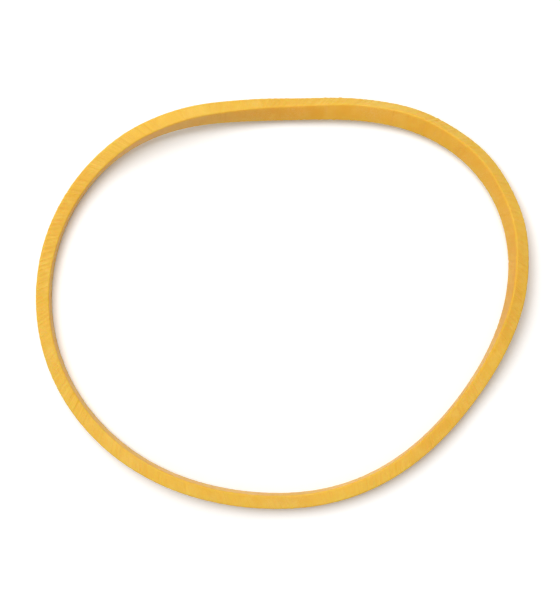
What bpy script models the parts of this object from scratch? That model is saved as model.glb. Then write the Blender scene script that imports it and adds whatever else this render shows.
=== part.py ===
"""Rubber band, lying relaxed on a table as it would come to rest.

The real thing is one piece: a ring sliced from a long moulded tube of amber rubber. The tube's wall is
the thin side of the section and the slice is the wide side, so every cross-section is the same small
rectangle with its knife-cut edges just broken. Nothing holds the ring in shape, so its outline is a
slightly lobed oval of exactly the cut length. It stands on its lower cut edge for most of the way, rolls
over onto its wall along one side, and lifts a little off the table between the places that carry it.

Metres, +Z up. The origin is on the table, under the middle of the band's box.
"""

import math

import bpy
from mathutils import Vector

# The band as cut
LAY_FLAT = 0.060  # end to end when pressed flat, which is half of its way round
CUT_WIDTH = 0.0016  # the slice taken off the tube
WALL = 0.0012  # the wall of the tube
EDGE_RADIUS = 0.00015  # how far the four long edges are broken

# How its outline lies: each lobe is a share of the mean radius, with the bearing of a crest in degrees
OVAL = 0.095
OVAL_BEARING = 10.0
THREE_LOBE = 0.035
THREE_LOBE_BEARING = 32.0
FOUR_LOBE = 0.015
FOUR_LOBE_BEARING = 31.0

# Where it rolls over, in degrees: the most it turns, the bearing of that place, and how far each way it
# takes to stand on its cut edge again
ROLL = 60.0
ROLL_BEARING = 62.0
ROLL_SPAN = 97.0

# Where it lifts off the table: the height of each arch, its bearing, and the half-length of them all
RIGHT_LIFT = 0.0009
RIGHT_LIFT_BEARING = 2.0
UPPER_LIFT = 0.0013
UPPER_LIFT_BEARING = 121.0
LOWER_LIFT = 0.0006
LOWER_LIFT_BEARING = 240.0
LIFT_SPAN = 34.0

# Fineness of the mesh
STATIONS = 168  # sections round the ring
EDGE_STEPS = 3  # flats across each broken edge

# Amber rubber, seen in flat light
RUBBER_COLOUR = (0.87, 0.515, 0.07, 1.0)
RUBBER_ROUGHNESS = 0.5


def clear_scene():
    """Removes every object that is already there."""
    for obj in list(bpy.data.objects):
        bpy.data.objects.remove(obj, do_unlink=True)


def new_collection(name):
    """A collection of that name, linked to the scene."""
    collection = bpy.data.collections.new(name)
    bpy.context.scene.collection.children.link(collection)
    return collection


def amber_rubber():
    """The one material: matt, slightly translucent natural rubber."""
    material = bpy.data.materials.new("amber_rubber")
    material.use_nodes = True
    shader = material.node_tree.nodes["Principled BSDF"]
    shader.inputs["Base Color"].default_value = RUBBER_COLOUR
    shader.inputs["Roughness"].default_value = RUBBER_ROUGHNESS
    shader.inputs["Metallic"].default_value = 0.0
    material.diffuse_color = RUBBER_COLOUR
    return material


def swell(bearing, crest, span):
    """A smooth hump: 1 at the crest, falling to 0 at span degrees on either side of it."""
    away = abs((bearing - crest + 180.0) % 360.0 - 180.0)
    return 0.5 * (1.0 + math.cos(math.pi * away / span)) if away < span else 0.0


def lobe(bearing, times_round, crest):
    """A wave that goes round the ring that many times, with one of its crests at the given bearing."""
    return math.cos(math.radians(times_round * (bearing - crest)))


def outline_radius(bearing):
    """Distance of the outline from its middle at a bearing, on a ring of mean radius 1."""
    return (
        1.0
        + OVAL * lobe(bearing, 2, OVAL_BEARING)
        + THREE_LOBE * lobe(bearing, 3, THREE_LOBE_BEARING)
        + FOUR_LOBE * lobe(bearing, 4, FOUR_LOBE_BEARING)
    )


def roll_at(bearing):
    """How far the section is rolled over there, in radians: 0 where it stands on its cut edge."""
    return math.radians(ROLL) * swell(bearing, ROLL_BEARING, ROLL_SPAN)


def lift_at(bearing):
    """Height of the section's lowest point above the table."""
    return (
        RIGHT_LIFT * swell(bearing, RIGHT_LIFT_BEARING, LIFT_SPAN)
        + UPPER_LIFT * swell(bearing, UPPER_LIFT_BEARING, LIFT_SPAN)
        + LOWER_LIFT * swell(bearing, LOWER_LIFT_BEARING, LIFT_SPAN)
    )


def half_height(roll):
    """From the middle of a section rolled by that angle to its lowest point."""
    upright = CUT_WIDTH / 2 - EDGE_RADIUS
    across = WALL / 2 - EDGE_RADIUS
    return EDGE_RADIUS + upright * abs(math.cos(roll)) + across * abs(math.sin(roll))


def half_breadth(roll):
    """From the middle of a section rolled by that angle to its farthest point inwards or outwards."""
    upright = CUT_WIDTH / 2 - EDGE_RADIUS
    across = WALL / 2 - EDGE_RADIUS
    return EDGE_RADIUS + upright * abs(math.sin(roll)) + across * abs(math.cos(roll))


def station_bearings():
    """The bearings of the sections, evenly round the ring."""
    return [360.0 * step / STATIONS for step in range(STATIONS)]


def level_outline():
    """The middle of each section seen from above, scaled so that the ring's way round is its cut length."""
    points = []
    for bearing in station_bearings():
        angle = math.radians(bearing)
        points.append(outline_radius(bearing) * Vector((math.cos(angle), math.sin(angle), 0.0)))
    way_round = sum((points[i] - points[i - 1]).length for i in range(STATIONS))
    return [point * (2 * LAY_FLAT / way_round) for point in points]


def box_middle(outline):
    """The middle, seen from above, of the box that the solid ring fills."""
    rim = []
    for i, bearing in enumerate(station_bearings()):
        along = (outline[(i + 1) % STATIONS] - outline[i - 1]).normalized()
        outward = Vector((along.y, -along.x, 0.0))
        rim.append(outline[i] + outward * half_breadth(roll_at(bearing)))
    middle_x = (min(p.x for p in rim) + max(p.x for p in rim)) / 2
    middle_y = (min(p.y for p in rim) + max(p.y for p in rim)) / 2
    return Vector((middle_x, middle_y, 0.0))


def section_outline():
    """The cut section: wall along X, slice along Y. It runs clockwise, so that the sweep faces out."""
    points = []
    corners = ((1, 1), (1, -1), (-1, -1), (-1, 1))
    for quarter, (side_x, side_y) in enumerate(corners):
        centre_x = side_x * (WALL / 2 - EDGE_RADIUS)
        centre_y = side_y * (CUT_WIDTH / 2 - EDGE_RADIUS)
        for step in range(EDGE_STEPS + 1):
            angle = math.radians(90.0 * (1 - quarter - step / EDGE_STEPS))
            x = centre_x + EDGE_RADIUS * math.cos(angle)
            y = centre_y + EDGE_RADIUS * math.sin(angle)
            points.append((x, y))
    return points


def make_section(collection):
    """The guide curve whose shape is swept round the ring."""
    curve = bpy.data.curves.new("band_section", "CURVE")
    curve.dimensions = "2D"
    curve.fill_mode = "NONE"
    outline = section_outline()
    spline = curve.splines.new("POLY")
    spline.points.add(len(outline) - 1)
    for point, (x, y) in zip(spline.points, outline):
        point.co = (x, y, 0.0, 1.0)
    spline.use_cyclic_u = True
    section = bpy.data.objects.new("band_section", curve)
    section.hide_render = True
    section.display_type = "WIRE"
    collection.objects.link(section)
    return section


def make_band(collection, section, material):
    """The band: the section swept round its closed, rolling, lifting centre line."""
    curve = bpy.data.curves.new("rubber_band", "CURVE")
    curve.dimensions = "3D"
    curve.twist_mode = "Z_UP"
    curve.bevel_mode = "OBJECT"
    curve.bevel_object = section
    outline = level_outline()
    middle = box_middle(outline)
    spline = curve.splines.new("POLY")
    spline.points.add(STATIONS - 1)
    for point, level, bearing in zip(spline.points, outline, station_bearings()):
        roll = roll_at(bearing)
        place = level - middle
        place.z = lift_at(bearing) + half_height(roll)
        point.co = (*place, 1.0)
        point.tilt = roll
    spline.use_cyclic_u = True
    spline.use_smooth = True
    curve.materials.append(material)
    band = bpy.data.objects.new("rubber_band", curve)
    collection.objects.link(band)
    return band


def main():
    clear_scene()
    section = make_section(new_collection("guides"))
    make_band(new_collection("rubber band"), section, amber_rubber())


main()
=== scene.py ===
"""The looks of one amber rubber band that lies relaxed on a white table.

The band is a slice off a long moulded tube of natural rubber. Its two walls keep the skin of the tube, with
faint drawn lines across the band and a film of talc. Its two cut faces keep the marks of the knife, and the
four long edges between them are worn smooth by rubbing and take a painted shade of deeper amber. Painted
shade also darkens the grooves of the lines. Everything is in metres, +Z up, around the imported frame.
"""

from __future__ import annotations

import logging
import math
from dataclasses import asdict, dataclass, field
from enum import Enum

import bpy
import numpy as np
import numpy.typing as npt
from mathutils import Matrix, Vector

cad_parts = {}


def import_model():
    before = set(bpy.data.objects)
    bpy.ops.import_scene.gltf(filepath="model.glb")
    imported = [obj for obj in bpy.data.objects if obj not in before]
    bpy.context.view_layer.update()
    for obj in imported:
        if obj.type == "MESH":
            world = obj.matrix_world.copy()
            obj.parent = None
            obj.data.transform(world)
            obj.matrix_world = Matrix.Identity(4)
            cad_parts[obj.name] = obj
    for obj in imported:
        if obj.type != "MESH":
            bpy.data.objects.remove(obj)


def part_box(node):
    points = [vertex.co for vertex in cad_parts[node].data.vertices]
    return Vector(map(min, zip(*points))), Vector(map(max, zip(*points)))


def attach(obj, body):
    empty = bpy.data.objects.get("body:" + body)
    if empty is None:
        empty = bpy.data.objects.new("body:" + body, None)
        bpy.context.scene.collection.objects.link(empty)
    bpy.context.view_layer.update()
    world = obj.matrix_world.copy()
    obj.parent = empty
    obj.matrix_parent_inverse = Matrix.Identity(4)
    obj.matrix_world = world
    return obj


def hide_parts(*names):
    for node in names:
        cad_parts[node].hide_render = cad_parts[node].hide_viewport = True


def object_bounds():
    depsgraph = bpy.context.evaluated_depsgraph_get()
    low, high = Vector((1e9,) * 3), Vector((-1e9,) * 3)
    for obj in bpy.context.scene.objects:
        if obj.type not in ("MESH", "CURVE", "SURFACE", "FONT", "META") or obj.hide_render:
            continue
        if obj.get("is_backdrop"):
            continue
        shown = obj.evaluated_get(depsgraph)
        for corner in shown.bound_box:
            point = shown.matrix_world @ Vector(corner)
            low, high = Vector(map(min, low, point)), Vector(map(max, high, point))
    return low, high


Floats = npt.NDArray[np.float64]
Whole = npt.NDArray[np.int64]
Colour = tuple[float, float, float, float]
Socket = bpy.types.NodeSocket
Sockets = bpy.types.bpy_prop_collection

log = logging.getLogger("rubber_band")

CAD_NODE = "rubber_band"
PIECE = "moulded_band"
BODY = "root"
FRAME_WIDTH = 560  # pixels of the finished picture
FRAME_HEIGHT = 610

PLACE_ATTRIBUTE = "moulded"  # where each point of the skin is on the round ring as moulded
EDGE_ATTRIBUTE = "edge"  # how near each point is to a long edge, from 0 to 1
BAKE_MAP = "OFBake"

LAY_FLAT = 0.060  # end to end when pressed flat, which is half of its way round
RING_RADIUS = LAY_FLAT / math.pi  # of the round ring as moulded
FOLD_BEARING = 0.35  # where the tube was folded flat for the knife, in radians
FOLD_SHARPNESS = 4.0  # how suddenly the knife's lean turns over there
KNIFE_LEAN = 0.55  # how far the knife's marks lean along the ring, in metres for each metre of wall


class Face(Enum):
    """The four faces of the section, in the order that its outline meets them."""

    OUTER_WALL = 0
    UPPER_CUT = 1
    INNER_WALL = 2
    LOWER_CUT = 3


class Effect(Enum):
    """The shader node groups that the finishes share, in the order that they build on each other."""

    LINES = "ring_lines"
    TONE = "rubber_tone"
    SPECKS = "dark_specks"
    TALC = "talc_film"
    # The long edges' painted shade of deeper amber, and their polish.
    EDGE = "edge_shade_and_polish"
    GRAIN = "rubber_grain"


# Shape


def unit(arrows: Floats) -> Floats:
    """The rows of an array, each brought to length 1."""
    return arrows / np.linalg.norm(arrows, axis=1)[:, None]


def running(steps: Floats) -> Floats:
    """The distance run before each step and after the last."""
    return np.concatenate(([0.0], np.cumsum(steps)))


@dataclass(frozen=True)
class Crest:
    """A wave or an arch: its size, and the bearing of its crest in degrees."""

    size: float
    bearing: float


@dataclass(frozen=True)
class RingNoise:
    """A random wave that closes on itself round the ring.

    Attributes:
        lowest: The fewest waves round the ring.
        highest: The most waves round the ring.
        seed: The seed of its sizes and phases.
    """

    lowest: int
    highest: int
    seed: int

    def at(self, turn: Floats) -> Floats:
        """The height of the wave, whose standard deviation is about 1.

        Args:
            turn: Angles round the ring, in radians, in an array of any shape.

        Returns:
            The heights, in an array of that shape.
        """
        draw = np.random.default_rng(self.seed)
        times = np.arange(self.lowest, self.highest + 1)
        sizes = draw.normal(size=len(times)) / math.sqrt(len(times) / 2)
        phases = draw.uniform(0.0, 2 * math.pi, len(times))
        height = np.zeros_like(turn)
        for count, size, phase in zip(times, sizes, phases):
            height += size * np.cos(count * turn + phase)
        return height


@dataclass(frozen=True)
class Unevenness:
    """How a mark comes and goes round the ring: a factor that wanders about 1.

    Attributes:
        wave: The wave that it follows.
        swing: How far it strays from 1, as a standard deviation.
        least: The least that it can be.
        most: The most that it can be.
    """

    wave: RingNoise
    swing: float
    least: float
    most: float

    def at(self, turn: Floats) -> Floats:
        """The factor at each angle round the ring, in radians."""
        return np.clip(1.0 + self.swing * self.wave.at(turn), self.least, self.most)


@dataclass(frozen=True)
class Section:
    """The cut section of the ring: the tube's wall across, the slice up, and four broken edges.

    Attributes:
        wall: The wall of the tube.
        slice: The slice taken off the tube.
        edge_radius: How far the four long edges are broken.
        edge_steps: The flats round each broken edge.
        wall_steps: The flats up each wall.
        cut_steps: The flats across each cut.
    """

    wall: float = 0.0012
    slice: float = 0.0016
    edge_radius: float = 0.00015
    edge_steps: int = 6
    wall_steps: int = 12
    cut_steps: int = 8

    def half_height(self, roll: Floats) -> Floats:
        """From the middle of the section down to its lowest point, for each roll in radians."""
        upright, across = (length / 2 - self.edge_radius for length in (self.slice, self.wall))
        return self.edge_radius + upright * np.abs(np.cos(roll)) + across * np.abs(np.sin(roll))

    def outline(self) -> SectionOutline:
        """The points round the section, from the lower end of the outer wall upwards.

        Returns:
            The finished outline.
        """
        side, top = (length / 2 - self.edge_radius for length in (self.wall, self.slice))
        corners = np.array(((side, top), (-side, top), (-side, -top), (side, -top)))
        flats = (self.wall_steps, self.cut_steps, self.wall_steps, self.cut_steps)
        centres: list[Floats] = []
        angles: list[float] = []
        faces: list[int] = []
        for quarter, end in enumerate(corners):
            start = corners[quarter - 1]
            facing = math.radians(90.0 * quarter)
            for step in range(1, flats[quarter]):
                centres.append(start + (end - start) * (step / flats[quarter]))
                angles.append(facing)
                faces.append(quarter)
            for step in range(self.edge_steps + 1):
                centres.append(end)
                angles.append(facing + math.radians(90.0 * step / self.edge_steps))
                faces.append(quarter if step < self.edge_steps / 2 else (quarter + 1) % len(corners))
        normals = np.stack((np.cos(angles), np.sin(angles)), axis=1)
        places = np.array(centres) + self.edge_radius * normals
        shares = places / (np.array((self.wall, self.slice)) / 2)
        return SectionOutline(places, shares, normals, np.array(faces))


@dataclass(frozen=True)
class SectionOutline:
    """The points round a section.

    Attributes:
        places: Across and rise of each point, from the middle of the section.
        shares: The same from -1 to 1, as shares of half the wall and half the slice.
        normals: The outward direction at each point.
        faces: The value of the Face that the stretch after each point belongs to.
    """

    places: Floats
    shares: Floats
    normals: Floats
    faces: Whole


@dataclass(frozen=True)
class Stations:
    """The ring's cross-sections in order.

    Attributes:
        turn: The angle of each on the round ring as moulded, in radians.
        middle: The middle of each section.
        across: The direction of the tube's wall there, from the inside out.
        rise: The direction of the slice there, from the lower cut to the upper.
    """

    turn: Floats
    middle: Floats
    across: Floats
    rise: Floats


@dataclass(frozen=True)
class RelaxedLay:
    """How the slack ring lies: a lobed oval that rolls over along one side and lifts in three arches.

    Attributes:
        lay_flat: Half of the way round.
        lobes: The waves that go twice, three and four times round, as shares of the mean radius.
        roll: How far the section is rolled over at most, in radians, and where.
        roll_span: How far each way it takes to stand on its cut edge again, in degrees.
        lifts: The arches over the table.
        lift_span: The half-length of each arch, in degrees.
        measuring_steps: How finely the way round is measured, in steps to a section.
    """

    lay_flat: float = LAY_FLAT
    lobes: tuple[Crest, ...] = (Crest(0.095, 10.0), Crest(0.035, 32.0), Crest(0.015, 31.0))
    roll: Crest = Crest(math.radians(60.0), 62.0)
    roll_span: float = 97.0
    lifts: tuple[Crest, ...] = (Crest(0.0009, 2.0), Crest(0.0013, 121.0), Crest(0.0006, 240.0))
    lift_span: float = 34.0
    measuring_steps: int = 8

    @staticmethod
    def swell(bearing: Floats, crest: Crest, span: float) -> Floats:
        """A smooth hump of the crest's size, falling to 0 at span degrees on either side of it."""
        away = np.abs((bearing - crest.bearing + 180.0) % 360.0 - 180.0)
        return np.where(away < span, crest.size * 0.5 * (1.0 + np.cos(np.pi * away / span)), 0.0)

    def level(self, bearing: Floats) -> Floats:
        """The outline seen from above, on a ring of mean radius 1.

        Args:
            bearing: Bearings in degrees.

        Returns:
            One level point for each bearing.
        """
        reach = np.ones_like(bearing)
        for times, lobe in enumerate(self.lobes, start=2):
            reach += lobe.size * np.cos(np.radians(times * (bearing - lobe.bearing)))
        angle = np.radians(bearing)
        return np.stack((reach * np.cos(angle), reach * np.sin(angle), np.zeros_like(angle)), axis=1)

    def stations(self, count: int, section: Section) -> Stations:
        """Sections at even distances round the ring.

        Args:
            count: How many of them.
            section: The section that stands on the table there.

        Returns:
            The sections in order of their bearings.
        """
        fine = np.linspace(0.0, 360.0, self.measuring_steps * count + 1)
        run = running(np.linalg.norm(np.diff(self.level(fine), axis=0), axis=1))
        way_round = run[-1]
        turn = np.arange(count) * (2 * math.pi / count)
        bearing = np.interp(turn / (2 * math.pi) * way_round, run, fine)
        roll = self.swell(bearing, self.roll, self.roll_span)
        middle = self.level(bearing) * (2 * self.lay_flat / way_round)
        middle[:, 2] = section.half_height(roll) + sum(
            self.swell(bearing, lift, self.lift_span) for lift in self.lifts
        )
        along = np.roll(middle, -1, axis=0) - np.roll(middle, 1, axis=0)
        outward = unit(np.stack((along[:, 1], -along[:, 0], np.zeros(count)), axis=1))
        up = np.cross(outward, unit(along))
        cosine, sine = np.cos(roll)[:, None], np.sin(roll)[:, None]
        return Stations(turn, middle, cosine * outward - sine * up, cosine * up + sine * outward)


@dataclass(frozen=True)
class Relief:
    """How the real surface leaves the plain section, in metres.

    Attributes:
        eccentricity: How much thicker and thinner the wall is on either side of the tube.
        thick_side: The bearing of the thickest wall, in radians.
        wall_wander: How far the wall's thickness wanders besides, as a share of the eccentricity.
        wander: How far the upper cut strays from an even slice.
        hollow: How far each cut face sinks between its edges, from the rubber giving way under the knife.
        drawn_lines: The height of the lines that the die left on the tube, which run across both walls.
        knife_lines: The height of the marks on the cut faces.
        knife_slant: How far the knife's marks lean along the ring, in metres for each metre of wall.
        face_hold: How closely the marks of a face keep to it, as a power.
        edge_hold: How closely the burr and the nicks keep to the edges, as a power.
        burr: The lip that the knife left along the outer edge of the upper cut.
        nick: The most depth of the small nicks in the edges.
        nick_least: Their least depth, as a share of that.
        nick_reach: Their least and most half-length, in radians.
        nicks: How many there are.
        nick_seed: The seed of their places and sizes.
        wall_wave: How the wall's thickness wanders.
        cut_wave: How the upper cut wanders.
        knife_marks: The marks of the knife.
        knife_force: How hard the knife marked each stretch.
        die_lines: The lines that the die left.
        burr_bits: How the burr comes and goes.
    """

    eccentricity: float = 0.000028
    thick_side: float = 0.8
    wall_wander: float = 0.25
    wander: float = 0.00003
    hollow: float = 0.000022
    drawn_lines: float = 0.000005
    knife_lines: float = 0.000013
    knife_slant: float = KNIFE_LEAN
    face_hold: int = 3
    edge_hold: int = 8
    burr: float = 0.000014
    nick: float = 0.00005
    nick_least: float = 0.3
    nick_reach: tuple[float, float] = (0.006, 0.016)
    nicks: int = 46
    nick_seed: int = 35
    wall_wave: RingNoise = RingNoise(3, 9, 29)
    cut_wave: RingNoise = RingNoise(2, 22, 30)
    knife_marks: RingNoise = RingNoise(90, 330, 31)
    knife_force: Unevenness = Unevenness(RingNoise(2, 14, 32), swing=0.25, least=0.6, most=1.4)
    die_lines: RingNoise = RingNoise(70, 260, 33)
    burr_bits: Unevenness = Unevenness(RingNoise(20, 120, 34), swing=0.4, least=0.2, most=1.6)

    def offsets(self, turn: Floats, outline: SectionOutline) -> tuple[Floats, Floats]:
        """How far each point of each section moves from the plain one.

        Args:
            turn: The angles of the sections on the round ring.
            outline: The points round the plain section.

        Returns:
            The moves across and the moves up, one row for each section.
        """
        angle = turn[:, None]
        wall = np.cos(angle - self.thick_side) + self.wall_wander * self.wall_wave.at(angle)
        across = self.eccentricity * wall * np.clip(outline.shares[:, 0], 0.0, 1.0)
        rise = self.wander * self.cut_wave.at(angle) * np.clip(outline.shares[:, 1], 0.0, 1.0)
        height = self.face_height(angle, outline) + self.edge_height(angle, outline.shares)
        return across + height * outline.normals[:, 0], rise + height * outline.normals[:, 1]

    def face_height(self, angle: Floats, outline: SectionOutline) -> Floats:
        """The knife's marks on the hollow cut faces, and the die's lines on the walls.

        Args:
            angle: The angles of the sections, as a column.
            outline: The points round the plain section.

        Returns:
            The height at each point of each section.
        """
        fold = np.tanh(FOLD_SHARPNESS * np.cos(angle - FOLD_BEARING))
        slanted = angle + fold * self.knife_slant * outline.places[:, 0] / RING_RADIUS
        marks = self.knife_lines * self.knife_force.at(angle) * self.knife_marks.at(slanted)
        cut = marks - self.hollow * (1.0 - outline.shares[:, 0] ** 2)
        drawn = self.drawn_lines * self.die_lines.at(angle)
        on_wall, on_cut = np.abs(outline.normals.T) ** self.face_hold
        return cut * on_cut + drawn * on_wall

    def edge_height(self, angle: Floats, shares: Floats) -> Floats:
        """The burr along the outer edge of the upper cut, less the nicks in all four edges.

        Args:
            angle: The angles of the sections, as a column.
            shares: Those of the section's outline.

        Returns:
            The height at each point of each section.
        """
        at_edge = np.clip(np.abs(shares), 0.0, 1.0).prod(axis=1) ** self.edge_hold
        height = self.burr * self.burr_bits.at(angle) * at_edge * (shares > 0).all(axis=1)
        draw = np.random.default_rng(self.nick_seed)
        for _ in range(self.nicks):
            place = draw.uniform(0.0, 2 * math.pi)
            half_length = draw.uniform(*self.nick_reach)
            depth = self.nick * draw.uniform(self.nick_least, 1.0)
            sides = draw.choice((-1.0, 1.0), 2)
            away = np.abs((angle - place + math.pi) % (2 * math.pi) - math.pi) / half_length
            height -= depth * np.clip(1.0 - away**2, 0.0, 1.0) * at_edge * (shares * sides > 0).all(axis=1)
        return height


# Shader nodes

COLOUR_NAMES = ("colour", "amber", "deep", "pale", "rim_colour", "talc_colour", "speck_colour")
SOCKET_KINDS = {"place": "NodeSocketVector"} | dict.fromkeys(COLOUR_NAMES, "NodeSocketColor")
NUMBER_KIND = "NodeSocketFloat"  # of the groups' other sockets
MIX_INPUTS = (0, 6, 7)  # the share and the two colours, in the order of a Mix node's inputs
MIX_RESULT = 2  # the colour, in the order of its outputs
NOISE_MIDDLE = 0.5  # the value that a Noise Texture varies about


class Wiring:
    """Adds nodes to one node tree and joins their sockets.

    What feeds an input is an output socket, a number, or a tuple of numbers.
    """

    def __init__(self, tree: bpy.types.NodeTree) -> None:
        """Takes the tree that the nodes go in: a material's, a world's or a group's."""
        self.tree = tree

    def feed(self, target: Socket, source: object) -> None:
        """Joins an input to an output socket, or sets it to a plain value.

        Args:
            target: The input.
            source: What feeds it.
        """
        if isinstance(source, bpy.types.NodeSocket):
            self.tree.links.new(source, target)
        else:
            target.default_value = source

    def add(self, kind: str, *sources: object, **settings: object) -> bpy.types.Node:
        """Adds one node.

        Args:
            kind: The node's type, such as ShaderNodeMath.
            *sources: What feeds its first inputs, in order.
            **settings: Properties of the node by name.

        Returns:
            The new node.
        """
        node = self.tree.nodes.new(kind)
        for name, value in settings.items():
            setattr(node, name, value)
        for target, source in zip(node.inputs, sources):
            self.feed(target, source)
        return node

    def fill(self, node: bpy.types.Node, **sources: object) -> Sockets:
        """Feeds inputs of a node by name.

        Args:
            node: The node.
            **sources: What feeds each input, by the input's name.

        Returns:
            The node's outputs.
        """
        for name, source in sources.items():
            self.feed(node.inputs[name], source)
        return node.outputs

    def use(self, group: bpy.types.NodeTree, held: dict[str, object]) -> dict[str, Socket]:
        """Places a node group and feeds all of its inputs.

        Args:
            group: The group.
            held: Under each input's name, what feeds it.

        Returns:
            What the group puts out, by name.
        """
        node = self.add("ShaderNodeGroup", node_tree=group)
        for target in node.inputs:
            self.feed(target, held[target.name])
        return {source.name: source for source in node.outputs}

    def math(self, operation: str, *sources: object, clamp: bool = False) -> Socket:
        """The result of a Math node, with its inputs fed in order."""
        return self.add("ShaderNodeMath", *sources, operation=operation, use_clamp=clamp).outputs[0]

    def vector(self, operation: str, *sources: object) -> Sockets:
        """The outputs of a Vector Math node, with its inputs fed in order."""
        return self.add("ShaderNodeVectorMath", *sources, operation=operation).outputs

    def between(self, value: Socket, low: float, high: float) -> Socket:
        """A smooth step up: 0 where the value is at or under low, 1 at or over high."""
        step = self.add("ShaderNodeMapRange", value, low, high, interpolation_type="SMOOTHSTEP", clamp=True)
        return step.outputs["Result"]

    def fading(self, value: Socket, low: float, high: float) -> Socket:
        """A smooth step down: 1 where the value is at or under low, 0 at or over high."""
        return self.math("SUBTRACT", 1.0, self.between(value, low, high))

    def noise(self, place: Socket, scale: object, octaves: float = 2.0, roughness: float = 0.5) -> Sockets:
        """The outputs of a Noise Texture, whose scale is its number of features in a metre."""
        node = self.add("ShaderNodeTexNoise", noise_dimensions="3D")
        return self.fill(node, Vector=place, Scale=scale, Detail=octaves, Roughness=roughness)

    def cells(self, place: Socket, scale: object) -> Sockets:
        """The outputs of a Voronoi Texture, whose scale is its number of cells in a metre."""
        return self.fill(self.add("ShaderNodeTexVoronoi", feature="F1"), Vector=place, Scale=scale)

    def bump(self, **sources: object) -> Socket:
        """The normal that a Bump node puts out, with its inputs fed by name."""
        return self.fill(self.add("ShaderNodeBump"), **sources)["Normal"]

    def mix(self, share: object, first: object, second: object) -> Socket:
        """A colour between two others.

        Args:
            share: How much of the second.
            first: The colour at 0.
            second: The colour at 1.

        Returns:
            The mixed colour.
        """
        node = self.add("ShaderNodeMix", data_type="RGBA", clamp_factor=True)
        for number, source in zip(MIX_INPUTS, (share, first, second)):
            self.feed(node.inputs[number], source)
        return node.outputs[MIX_RESULT]


class GroupWiring(Wiring):
    """The wiring of a new node group."""

    def __init__(self, effect: Effect, *names: str) -> None:
        """Makes the group.

        Args:
            effect: The effect that it makes.
            *names: The names of its inputs.
        """
        super().__init__(bpy.data.node_groups.new(effect.value, "ShaderNodeTree"))
        self.declare("INPUT", *names)
        self.given: list[Socket] = list(self.add("NodeGroupInput").outputs)[: len(names)]

    def declare(self, in_out: str, *names: str) -> None:
        """Gives the group sockets.

        Args:
            in_out: INPUT or OUTPUT.
            *names: Their names, which say their kinds.
        """
        for name in names:
            kind = SOCKET_KINDS.get(name, NUMBER_KIND)
            self.tree.interface.new_socket(name, in_out=in_out, socket_type=kind)

    def put_out(self, **results: Socket) -> bpy.types.NodeTree:
        """Finishes the group.

        Args:
            **results: What it puts out, by the outputs' names.

        Returns:
            The group.
        """
        self.declare("OUTPUT", *results)
        self.fill(self.add("NodeGroupOutput"), **results)
        return self.tree


@dataclass(frozen=True)
class Patches:
    """A random pattern: 1 in its patches and 0 between them, with soft borders.

    Attributes:
        per_metre: The number of patches in a metre.
        octaves: The number of finer octaves.
        roughness: How strong each finer octave is.
        low: The noise at which a patch begins.
        high: The noise at which it is full.
    """

    per_metre: float
    octaves: float
    roughness: float
    low: float
    high: float

    def mask(self, wiring: Wiring, place: Socket) -> Socket:
        """The pattern, as a socket of the wiring's tree."""
        noise = wiring.noise(place, self.per_metre, self.octaves, self.roughness)
        return wiring.between(noise["Fac"], self.low, self.high)


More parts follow.
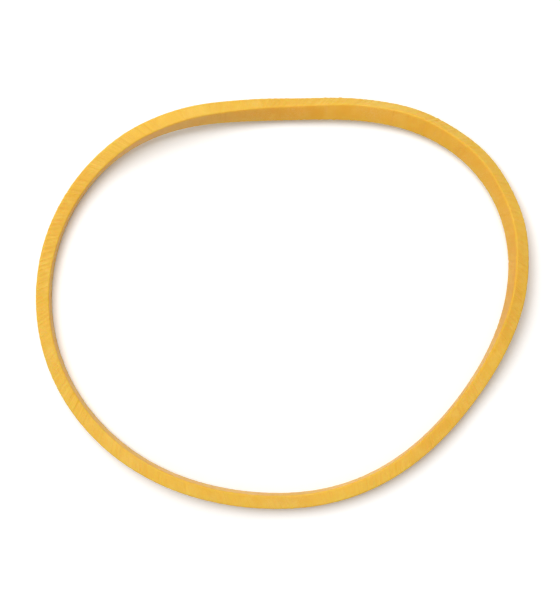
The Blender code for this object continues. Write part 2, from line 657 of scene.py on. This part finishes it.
@dataclass
class EffectLibrary:
    """Builds each shared effect once, as a shader node group.

    The inputs of a group have the names of a finish's fields and of what the groups before it put out.

    Attributes:
        drifts: Where the rubber is browner.
        clouds: Where it is creamier.
        worn_and_shaded_edge: Where its edges are smoothest and their painted shade strongest.
        worn_and_shaded_least: How much of that smoothing and painted shade they keep elsewhere.
        talc_patches: Where talc lies.
        groove_talc: How much talc the grooves hold.
        powder: The grains of the talc.
        powder_least: How much talc lies between its grains.
        line_octaves: The octaves of the lines across the band.
        line_roughness: How strong each finer octave of them is.
        crease_width: How wide the creases between them are, as a step of the noise.
        crease_depth: How deep the creases are, as a share of the lines' height.
        crease_shade: How much of a groove a crease makes.
        groove: The noise at which a groove is full, and at which it ends.
        grain_octaves: The octaves of the grain.
        grain_roughness: How strong each finer octave of it is.
        pit_spacing: The distance between pits, in grains.
        pit: Where a pit's floor ends and where its rim is, as shares of that distance.
        speck_warp: How far the specks are pulled out of round, in metres.
        speck_bend: The number of such pulls in a metre.
        speck_most: The most radius of a speck, as a share of a middling one's.
        speck_gaps: The random value, from 0 to 1, up to which a place has no speck.
        speck_core: Where a speck's soft border begins, as a share of its radius.
        groups: The finished groups.
    """

    drifts: Patches = Patches(95.0, 2.0, 0.5, 0.38, 0.66)
    clouds: Patches = Patches(780.0, 4.0, 0.6, 0.42, 0.72)
    worn_and_shaded_edge: Patches = Patches(520.0, 3.0, 0.5, 0.36, 0.60)
    worn_and_shaded_least: float = 0.45
    talc_patches: Patches = Patches(210.0, 3.0, 0.5, 0.36, 0.68)
    groove_talc: float = 0.7
    powder: Patches = Patches(11000.0, 3.0, 0.6, 0.44, 0.64)
    powder_least: float = 0.25
    line_octaves: float = 2.2
    line_roughness: float = 0.60
    crease_width: float = 0.085
    crease_depth: float = 0.5
    crease_shade: float = 0.28
    groove: tuple[float, float] = (0.30, 0.46)
    grain_octaves: float = 3.0
    grain_roughness: float = 0.6
    pit_spacing: float = 1 / 0.22
    pit: tuple[float, float] = (0.10, 0.24)
    speck_warp: float = 0.00016
    speck_bend: float = 8000.0
    speck_most: float = 1.4
    speck_gaps: float = 0.5
    speck_core: float = 0.35
    groups: dict[Effect, bpy.types.NodeTree] = field(init=False)

    def __post_init__(self) -> None:
        """Builds all the groups."""
        self.groups = {
            Effect.LINES: self.lines(),
            Effect.TONE: self.tone(),
            Effect.SPECKS: self.specks(),
            Effect.TALC: self.talc(),
            Effect.EDGE: self.edge(),
            Effect.GRAIN: self.grain(),
        }

    def lines(self) -> bpy.types.NodeTree:
        """Fine lines that cross the band, straight or slanted, at random distances round the ring.

        The slant turns over where the tube was folded flat for the knife.

        Returns:
            The group.
        """
        group = GroupWiring(Effect.LINES, "place", "lines", "slant", "waver", "keen")
        place, lines, slant, waver, keen = group.given
        fold = (FOLD_SHARPNESS * math.cos(FOLD_BEARING), FOLD_SHARPNESS * math.sin(FOLD_BEARING), 0.0)
        flat = group.vector("MULTIPLY", place, (1.0, 1.0, 0.0))["Vector"]
        reach = group.vector("LENGTH", flat)["Value"]
        across = group.math("SUBTRACT", reach, RING_RADIUS)
        outward = group.vector("NORMALIZE", flat)["Vector"]
        half = group.vector("DOT_PRODUCT", outward, fold)["Value"]
        side = group.math("MAXIMUM", group.math("MINIMUM", half, 1.0), -1.0)
        along = group.math("MULTIPLY", across, group.math("MULTIPLY", slant, side))
        turned = group.add("ShaderNodeVectorRotate", outward, rotation_type="Z_AXIS")
        leaning = group.fill(turned, Angle=group.math("DIVIDE", along, reach))["Vector"]
        rise = group.vector("MULTIPLY", place, (0.0, 0.0, 1.0))["Vector"]
        at = group.vector("MULTIPLY_ADD", rise, waver, leaning)["Vector"]

        height = group.noise(at, lines, self.line_octaves, self.line_roughness)["Fac"]
        sway = group.math("ABSOLUTE", group.math("SUBTRACT", height, NOISE_MIDDLE))
        crease = group.math("MULTIPLY", group.fading(sway, 0.0, self.crease_width), keen)
        sunk = group.math("MULTIPLY", crease, self.crease_depth)
        shade = group.math("MULTIPLY", crease, self.crease_shade)
        groove = group.math("MAXIMUM", group.fading(height, *self.groove), shade)
        return group.put_out(line=group.math("SUBTRACT", height, sunk), groove=groove)

    def tone(self) -> bpy.types.NodeTree:
        """Colour that drifts slowly along the rubber and mottles it at the scale of a millimetre, with
        painted shade in the grooves.

        Returns:
            The group.
        """
        group = GroupWiring(Effect.TONE, "place", "groove", "amber", "deep", "pale", "drift", "scored")
        place, groove, amber, deep, pale, drift, scored = group.given
        brown = group.math("MULTIPLY", self.drifts.mask(group, place), drift)
        cream = group.math("MULTIPLY", self.clouds.mask(group, place), drift)
        # Painted shade: the grooves are mixed toward the deep colour.
        share = group.math("MAXIMUM", brown, group.math("MULTIPLY", groove, scored))
        return group.put_out(colour=group.mix(cream, group.mix(share, amber, deep), pale))

    def specks(self) -> bpy.types.NodeTree:
        """Scattered specks of dark bark and filler in the rubber, none of them round.

        Returns:
            The group.
        """
        names = ("colour", "place", "speck_colour", "speck_spacing", "speck_radius")
        group = GroupWiring(Effect.SPECKS, *names)
        colour, place, dark, spacing, radius = group.given
        pull = group.noise(place, self.speck_bend)["Color"]
        pulled = group.vector("MULTIPLY_ADD", pull, (self.speck_warp,) * 3, place)["Vector"]
        cells = group.cells(pulled, group.math("DIVIDE", 1.0, spacing))
        away = group.math("MULTIPLY", cells["Distance"], spacing)
        size = group.math("MULTIPLY", cells["Color"], self.speck_most)
        share = group.math("DIVIDE", away, group.math("MULTIPLY", radius, size))
        chosen = group.math("GREATER_THAN", cells["Color"], self.speck_gaps)
        mask = group.math("MULTIPLY", group.fading(share, self.speck_core, 1.0), chosen)
        return group.put_out(colour=group.mix(mask, colour, dark))

    def talc(self) -> bpy.types.NodeTree:
        """A thin film of talc, thicker in the grooves, that dulls and pales the rubber.

        Returns:
            The group.
        """
        names = ("colour", "place", "groove", "talc_colour", "talc", "smooth", "dull")
        group = GroupWiring(Effect.TALC, *names)
        colour, place, groove, white, amount, smooth, dull = group.given
        held = group.math("MULTIPLY", groove, self.groove_talc)
        lying = group.math("MAXIMUM", self.talc_patches.mask(group, place), held)
        powder = group.math("ADD", self.powder.mask(group, place), self.powder_least)
        film = group.math("MULTIPLY", lying, powder, clamp=True)
        span = group.math("SUBTRACT", dull, smooth)
        return group.put_out(
            colour=group.mix(group.math("MULTIPLY", film, amount), colour, white),
            roughness=group.math("MULTIPLY_ADD", film, span, smooth),
        )

    def edge(self) -> bpy.types.NodeTree:
        """The long edges: rubbing has taken the talc off and smoothed them, and painted shade turns them a
        deeper amber.

        Returns:
            The group.
        """
        names = ("colour", "roughness", "place", "edge", "rim_colour", "rim", "polish")
        group = GroupWiring(Effect.EDGE, *names)
        colour, roughness, place, edge, deeper, amount, polish = group.given
        patch = self.worn_and_shaded_edge.mask(group, place)
        worn = group.math("MULTIPLY_ADD", patch, 1.0 - self.worn_and_shaded_least, self.worn_and_shaded_least)
        worn_and_shaded_edge = group.math("MULTIPLY", edge, worn)
        span = group.math("SUBTRACT", polish, roughness)
        # Painted shade: the colour is mixed toward a deeper amber along the long edges, most where they are
        # most worn.
        return group.put_out(
            colour=group.mix(group.math("MULTIPLY", worn_and_shaded_edge, amount), colour, deeper),
            roughness=group.math("MULTIPLY_ADD", worn_and_shaded_edge, span, roughness),
        )

    def grain(self) -> bpy.types.NodeTree:
        """The fine grain of the rubber, with small pits in it.

        Returns:
            The group.
        """
        group = GroupWiring(Effect.GRAIN, "place", "grain", "pits")
        place, grain, pits = group.given
        fine = group.noise(place, grain, self.grain_octaves, self.grain_roughness)["Fac"]
        cells = group.cells(place, group.math("DIVIDE", grain, self.pit_spacing))
        sunk = group.math("MULTIPLY", group.fading(cells["Distance"], *self.pit), pits)
        return group.put_out(pitted=group.math("SUBTRACT", fine, sunk))


@dataclass(frozen=True)
class RubberFinish:
    """One of the band's surfaces, whose fields feed the effects' inputs of the same names.

    Attributes:
        name: The material's name.
        amber: The rubber's colour, which on the two skins also holds some painted shade.
        deep: Its colour where it is browner, and that of the painted shade in the grooves.
        pale: Its colour where it is creamier.
        rim_colour: The painted shade of the long edges, a deeper amber.
        talc_colour: The colour of rubber under talc.
        speck_colour: The colour of the specks.
        drift: How much the colours vary.
        scored: How much painted shade darkens the grooves toward the deep colour.
        lines: The number of lines in a radius of the ring.
        slant: How far the lines lean, in metres along for each metre across.
        waver: How much a line wanders on its way up the slice.
        line_height: The height of the lines.
        keen: How sharply the lines are creased, from 0 to 1.
        grain: The number of grains in a metre.
        pits: How deep the pits are, as a share of the grain.
        grain_height: The height of the grain.
        smooth: The roughness of bare rubber.
        dull: The roughness under talc.
        talc: How much the talc pales the colour.
        rim: How much of that painted shade the long edges take.
        polish: The roughness of the worn long edges.
        speck_spacing: The distance between places that may have a speck.
        speck_radius: The radius of a middling speck.
        gleam: How strongly the surface reflects, where 0.5 is plain.
        depth: How much of the light goes into the rubber.
        depth_radius: How far each colour of it goes, as shares of the scale.
        depth_scale: How far the light goes.
        index_of_refraction: That of natural rubber.
    """

    name: str
    amber: Colour
    deep: Colour
    pale: Colour
    rim_colour: Colour = (0.90, 0.475, 0.042, 1.0)
    talc_colour: Colour = (0.93, 0.67, 0.26, 1.0)
    speck_colour: Colour = (0.25, 0.09, 0.015, 1.0)
    drift: float = 0.7
    scored: float = 0.6
    lines: float = 40.0
    slant: float = 0.0
    waver: float = 2.5
    line_height: float = 0.000011
    keen: float = 0.35
    grain: float = 9000.0
    pits: float = 0.5
    grain_height: float = 0.000012
    smooth: float = 0.42
    dull: float = 0.66
    talc: float = 0.34
    rim: float = 0.60
    polish: float = 0.43
    speck_spacing: float = 0.0014
    speck_radius: float = 0.00006
    gleam: float = 0.24
    depth: float = 0.50
    depth_radius: tuple[float, float, float] = (1.0, 0.48, 0.12)
    depth_scale: float = 0.0012
    index_of_refraction: float = 1.52

    def material(self, library: EffectLibrary) -> bpy.types.Material:
        """Builds the material, in which each effect takes up what the ones before it put out.

        Args:
            library: The shared effects.

        Returns:
            The new material.
        """
        material = bpy.data.materials.new(self.name)
        material.use_nodes = True
        material.diffuse_color = self.amber
        wiring = Wiring(material.node_tree)
        held: dict[str, object] = asdict(self)
        held["place"] = wiring.add("ShaderNodeAttribute", attribute_name=PLACE_ATTRIBUTE).outputs["Vector"]
        held["edge"] = wiring.add("ShaderNodeAttribute", attribute_name=EDGE_ATTRIBUTE).outputs["Fac"]
        for effect in Effect:
            held.update(wiring.use(library.groups[effect], held))
        fine = wiring.bump(Height=held["pitted"], Distance=self.grain_height)
        shader = material.node_tree.nodes["Principled BSDF"].inputs
        for name, source in (
            ("Base Color", held["colour"]),
            ("Roughness", held["roughness"]),
            ("Normal", wiring.bump(Height=held["line"], Distance=self.line_height, Normal=fine)),
            ("IOR", self.index_of_refraction),
            ("Specular IOR Level", self.gleam),
            ("Subsurface Weight", self.depth),
            ("Subsurface Radius", self.depth_radius),
            ("Subsurface Scale", self.depth_scale),
        ):
            wiring.feed(shader[name], source)
        return material


# The two skins are a deeper, more orange amber than the knife's cut, partly the aged skin of the tube and
# partly painted shade for the walls at the band's sides.
MOULDED_SKIN = RubberFinish(
    name="moulded_skin",
    amber=(0.870, 0.468, 0.043, 1.0),
    deep=(0.790, 0.378, 0.027, 1.0),
    pale=(0.900, 0.520, 0.066, 1.0),
)
MANDREL_SKIN = RubberFinish(
    name="mandrel_skin",
    amber=(0.865, 0.460, 0.040, 1.0),
    deep=(0.785, 0.370, 0.025, 1.0),
    pale=(0.895, 0.510, 0.062, 1.0),
    smooth=0.36,
    dull=0.58,
    talc=0.26,
    line_height=0.000008,
)
KNIFE_CUT = RubberFinish(
    name="knife_cut",
    amber=(0.880, 0.525, 0.058, 1.0),
    deep=(0.805, 0.435, 0.038, 1.0),
    pale=(0.910, 0.575, 0.088, 1.0),
    lines=60.0,
    slant=KNIFE_LEAN,
    line_height=0.000028,
    keen=1.0,
    grain_height=0.000014,
    pits=0.8,
    smooth=0.55,
    dull=0.76,
    talc=0.20,
)


# The band


def in_scene(name: str, data: bpy.types.ID) -> bpy.types.Object:
    """Makes an object and links it to the scene.

    Args:
        name: The object's name.
        data: Its mesh, light or camera.

    Returns:
        The new object.
    """
    shown = bpy.data.objects.new(name, data)
    bpy.context.scene.collection.objects.link(shown)
    return shown


@dataclass
class RubberBand:
    """The one piece: the section swept round the relaxed ring, with the surface of real cut rubber.

    Attributes:
        section: The plain section.
        lay: How the ring lies.
        relief: How the real surface leaves the plain section.
        stations: How many sections there are round the ring.
        rim_start: How far in from the section's corners the worn edge and its painted shade are full.
        rim_width: Over what width it ends from there.
        bake_strips: How many rows the skin is laid out in.
        bake_margin: The gap round each row, as a share of the square.
        finishes: The finish of each face.
        outline: The points round the plain section.
    """

    section: Section = field(default_factory=Section)
    lay: RelaxedLay = field(default_factory=RelaxedLay)
    relief: Relief = field(default_factory=Relief)
    stations: int = 1500
    rim_start: float = 0.00005
    rim_width: float = 0.00028
    bake_strips: int = 5
    bake_margin: float = 0.006
    finishes: dict[Face, RubberFinish] = field(
        default_factory=lambda: {
            Face.OUTER_WALL: MOULDED_SKIN,
            Face.UPPER_CUT: KNIFE_CUT,
            Face.INNER_WALL: MANDREL_SKIN,
            Face.LOWER_CUT: KNIFE_CUT,
        }
    )
    outline: SectionOutline = field(init=False)

    def __post_init__(self) -> None:
        """Draws the outline."""
        self.outline = self.section.outline()

    def build(self, library: EffectLibrary) -> bpy.types.Object:
        """Makes the band and dresses it.

        Args:
            library: The shared effects.

        Returns:
            The finished piece, where the frame has it.
        """
        ring = self.lay.stations(self.stations, self.section)
        across, rise = self.relief.offsets(ring.turn, self.outline)
        across += self.outline.places[:, 0]
        rise += self.outline.places[:, 1]
        points = (
            ring.middle[:, None, :]
            + across[:, :, None] * ring.across[:, None, :]
            + rise[:, :, None] * ring.rise[:, None, :]
        )
        mesh = self.mesh_of(self.fitted(points.reshape(-1, 3)))
        self.add_places(mesh, ring.turn, across, rise)
        self.add_edges(mesh)
        self.add_bake_map(mesh)
        self.dress(mesh, library)
        return in_scene(PIECE, mesh)

    def fitted(self, points: Floats) -> Floats:
        """The points moved to the middle of the frame's node and down to the table.

        Args:
            points: The band's points around the middle of its own outline.

        Returns:
            The moved points.
        """
        low, high = (np.array(corner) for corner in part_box(CAD_NODE))
        lowest, highest = points.min(axis=0), points.max(axis=0)
        move = (low + high) / 2 - (lowest + highest) / 2
        move[2] = low[2] - lowest[2]
        over = (highest - lowest) - (high - low)
        log.info("band moved by %s mm", np.round(move * 1000, 3))
        log.info("band's sides less the frame's: %s mm", np.round(over * 1000, 3))
        return points + move

    def grid(self) -> Whole:
        """The section at which each quad starts, and the point of that section."""
        return np.indices((self.stations, len(self.outline.faces)))

    def mesh_of(self, points: Floats) -> bpy.types.Mesh:
        """A closed tube of quads that all face out.

        Args:
            points: The points, section by section.

        Returns:
            The mesh, shaded smooth.
        """
        around = len(self.outline.faces)
        station, corner = self.grid()
        here, after = station * around, (station + 1) % self.stations * around
        beside = (corner + 1) % around
        quads = np.stack((here + corner, after + corner, after + beside, here + beside), axis=2)
        mesh = bpy.data.meshes.new(PIECE)
        mesh.vertices.add(len(points))
        mesh.vertices.foreach_set("co", points.astype(np.float32).ravel())
        mesh.loops.add(quads.size)
        mesh.loops.foreach_set("vertex_index", quads.astype(np.int32).ravel())
        mesh.polygons.add(station.size)
        mesh.polygons.foreach_set("loop_start", np.arange(0, quads.size, 4, dtype=np.int32))
        mesh.update(calc_edges=True)
        mesh.validate()
        mesh.shade_smooth()
        return mesh

    def add_places(self, mesh: bpy.types.Mesh, turn: Floats, across: Floats, rise: Floats) -> None:
        """Notes where each point is on the round ring as moulded, which the finishes are laid out on.

        Args:
            mesh: The band's mesh.
            turn: The angle of each section on the round ring.
            across: How far out of the section's middle each point is.
            rise: How far above the section's middle each point is.
        """
        reach = self.lay.lay_flat / math.pi + across
        places = np.stack((reach * np.cos(turn)[:, None], reach * np.sin(turn)[:, None], rise), axis=2)
        attribute = mesh.attributes.new(PLACE_ATTRIBUTE, "FLOAT_VECTOR", "POINT")
        attribute.data.foreach_set("vector", places.astype(np.float32).ravel())

    def add_edges(self, mesh: bpy.types.Mesh) -> None:
        """Notes how near each point is to one of the four long edges, from 0 to 1.

        Args:
            mesh: The band's mesh.
        """
        corner = np.array((self.section.wall, self.section.slice)) / 2
        away = np.linalg.norm(corner - np.abs(self.outline.places), axis=1)
        near = np.clip(1.0 - (away - self.rim_start) / self.rim_width, 0.0, 1.0)
        smooth = near * near * (3.0 - 2.0 * near)
        attribute = mesh.attributes.new(EDGE_ATTRIBUTE, "FLOAT", "POINT")
        attribute.data.foreach_set("value", np.tile(smooth, self.stations).astype(np.float32))

    def add_bake_map(self, mesh: bpy.types.Mesh) -> None:
        """Lays the skin out in rows that fill the square, each an equal part of the way round.

        Args:
            mesh: The band's mesh.
        """
        places = self.outline.places
        steps = np.linalg.norm(np.roll(places, -1, axis=0) - places, axis=1)
        run = running(steps) / steps.sum()
        station, corner = self.grid()
        per_strip = self.stations // self.bake_strips
        strip, along = np.divmod(station, per_strip)
        row = 1.0 / self.bake_strips
        wide, high = 1.0 - 2 * self.bake_margin, row - 2 * self.bake_margin
        base = strip * row + self.bake_margin
        left, right = (self.bake_margin + (along + side) / per_strip * wide for side in (0, 1))
        lower, upper = (base + run[corner + side] * high for side in (0, 1))
        corners = ((left, lower), (right, lower), (right, upper), (left, upper))
        laid_out = np.stack([np.stack(pair, axis=2) for pair in corners], axis=2)
        layer = mesh.uv_layers.new(name=BAKE_MAP)
        layer.data.foreach_set("uv", laid_out.astype(np.float32).ravel())

    def dress(self, mesh: bpy.types.Mesh, library: EffectLibrary) -> None:
        """Gives each face of the section its finish.

        Args:
            mesh: The band's mesh.
            library: The shared effects.
        """
        needed = list(dict.fromkeys(self.finishes[face] for face in Face))
        for finish in needed:
            mesh.materials.append(finish.material(library))
        index = np.array([needed.index(self.finishes[Face(value)]) for value in self.outline.faces])
        mesh.polygons.foreach_set("material_index", np.tile(index, self.stations).astype(np.int32))


# The studio


@dataclass(frozen=True)
class Table:
    """The plain white table, which keeps the band's shadow.

    Attributes:
        half_side: Half of its side.
        bounce: Its colour to the light that it throws back.
        seen: Its colour to the camera, bright enough for white under these lights.
        shadow_reach: How far from the middle it still takes shadow in full.
        plain_from: How far from the middle it is plain white.
    """

    half_side: float = 1.5
    bounce: Colour = (0.70, 0.70, 0.70, 1.0)
    seen: Colour = (1.16, 1.16, 1.16, 1.0)
    shadow_reach: float = 0.035
    plain_from: float = 0.10

    def build(self) -> bpy.types.Object:
        """Makes the table's top and marks it as stage.

        Returns:
            The table.
        """
        side = self.half_side
        mesh = bpy.data.meshes.new("table")
        mesh.from_pydata(
            [(-side, -side, 0.0), (side, -side, 0.0), (side, side, 0.0), (-side, side, 0.0)],
            [],
            [(0, 1, 2, 3)],
        )
        mesh.materials.append(self.material())
        table = in_scene("table", mesh)
        table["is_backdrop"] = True
        return table

    def material(self) -> bpy.types.Material:
        """White card: plain to the light that it throws back, and full white where it is looked at.

        Returns:
            The new material.
        """
        material = bpy.data.materials.new("white_table")
        material.use_nodes = True
        nodes = material.node_tree.nodes
        nodes.remove(nodes["Principled BSDF"])
        wiring = Wiring(material.node_tree)
        thrown = wiring.add("ShaderNodeBsdfDiffuse", self.bounce).outputs["BSDF"]
        looked_at = wiring.add("ShaderNodeBsdfDiffuse", self.seen).outputs["BSDF"]
        plain = wiring.add("ShaderNodeEmission").outputs["Emission"]
        away = wiring.vector("LENGTH", wiring.add("ShaderNodeNewGeometry").outputs["Position"])["Value"]
        fade = wiring.between(away, self.shadow_reach, self.plain_from)
        ground = wiring.add("ShaderNodeMixShader", fade, looked_at, plain).outputs["Shader"]
        mixed = wiring.add("ShaderNodeMixShader", looking(wiring), thrown, ground).outputs["Shader"]
        wiring.feed(nodes["Material Output"].inputs["Surface"], mixed)
        return material


def looking(wiring: Wiring) -> Socket:
    """1 for rays that look, straight or by a mirror or glass, and 0 for rays that carry light.

    Args:
        wiring: The wiring of a material or a world.

    Returns:
        The socket that says so.
    """
    path = wiring.add("ShaderNodeLightPath").outputs
    mirrored = wiring.math("MAXIMUM", path["Is Camera Ray"], path["Is Glossy Ray"])
    return wiring.math("MAXIMUM", mirrored, path["Is Transmission Ray"])


@dataclass(frozen=True)
class Studio:
    """A soft overhead light from the upper left of the picture, and even light from all round.

    Attributes:
        lamp_place: The middle of the lamp, which faces the origin.
        lamp_side: The side of the square lamp.
        lamp_power: The lamp's power in watts.
        ambient: The strength of the light from all round.
        backdrop: The strength of the white that is looked at.
    """

    lamp_place: tuple[float, float, float] = (-0.09, 0.15, 0.36)
    lamp_side: float = 0.26
    lamp_power: float = 1.18
    ambient: float = 0.40
    backdrop: float = 1.0

    def build(self) -> bpy.types.Object:
        """Makes the lamp and the world.

        Returns:
            The lamp.
        """
        light = bpy.data.lights.new("overhead_softbox", "AREA")
        light.shape = "SQUARE"
        light.size = self.lamp_side
        light.energy = self.lamp_power
        lamp = in_scene("overhead_softbox", light)
        lamp.location = self.lamp_place
        lamp.rotation_euler = (-Vector(self.lamp_place)).to_track_quat("-Z", "Y").to_euler()
        self.light_all_round()
        bpy.context.scene.view_settings.view_transform = "Standard"
        return lamp

    def light_all_round(self) -> None:
        """Makes the world: even light, and white where it is looked at."""
        world = bpy.data.worlds.new("studio")
        world.use_nodes = True
        bpy.context.scene.world = world
        wiring = Wiring(world.node_tree)
        strength = wiring.math("MULTIPLY_ADD", looking(wiring), self.backdrop - self.ambient, self.ambient)
        wiring.fill(world.node_tree.nodes["Background"], Color=(1.0, 1.0, 1.0, 1.0), Strength=strength)


@dataclass(frozen=True)
class OverheadCamera:
    """The camera, a little off straight down, as it looks at the lower left of what it takes in.

    Attributes:
        tilt: How far it leans off straight down.
        towards: Which way it leans, as seen from above.
        lens: The focal length in millimetres.
        sensor: The side of the sensor in millimetres.
        fill: The share of the picture's width that the band takes up.
    """

    tilt: float = math.radians(5.0)
    towards: tuple[float, float] = (100.0, 162.0)
    lens: float = 100.0
    sensor: float = 36.0
    fill: float = 0.88

    def build(self, low: Vector, high: Vector) -> bpy.types.Object:
        """Makes the camera and makes it the scene's.

        Args:
            low: The lowest corner of the band's box.
            high: The highest corner of the band's box.

        Returns:
            The camera.
        """
        data = bpy.data.cameras.new("overhead_camera")
        data.lens = self.lens
        data.sensor_width = self.sensor
        shown_width = (high.x - low.x) / self.fill
        long_side = shown_width * max(FRAME_WIDTH, FRAME_HEIGHT) / FRAME_WIDTH
        distance = long_side / self.sensor * self.lens
        level = Vector((*self.towards, 0.0)).normalized()
        back = level * math.sin(self.tilt) + Vector((0.0, 0.0, math.cos(self.tilt)))
        right = Vector((0.0, 1.0, 0.0)).cross(back).normalized()
        turned = Matrix((right, back.cross(right), back)).transposed().to_4x4()
        camera = in_scene("overhead_camera", data)
        camera.matrix_world = Matrix.Translation((low + high) / 2 + back * distance) @ turned
        bpy.context.scene.camera = camera
        return camera


def main() -> None:
    """Builds the band, the table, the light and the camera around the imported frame."""
    logging.basicConfig(level=logging.INFO, format="%(name)s: %(message)s")
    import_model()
    cad_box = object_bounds()

    band = RubberBand().build(EffectLibrary())
    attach(band, BODY)
    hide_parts(CAD_NODE)
    log.info("%s: %d quads, %d finishes", band.name, len(band.data.polygons), len(band.data.materials))

    table = Table().build()
    log.info("%s: the white ground", table.name)
    lamp = Studio().build()
    log.info("%s: %.2f W", lamp.name, lamp.data.energy)
    camera = OverheadCamera().build(*cad_box)
    log.info("%s: at %s m", camera.name, [round(value, 4) for value in camera.location])


if __name__ == "__main__":
    main()
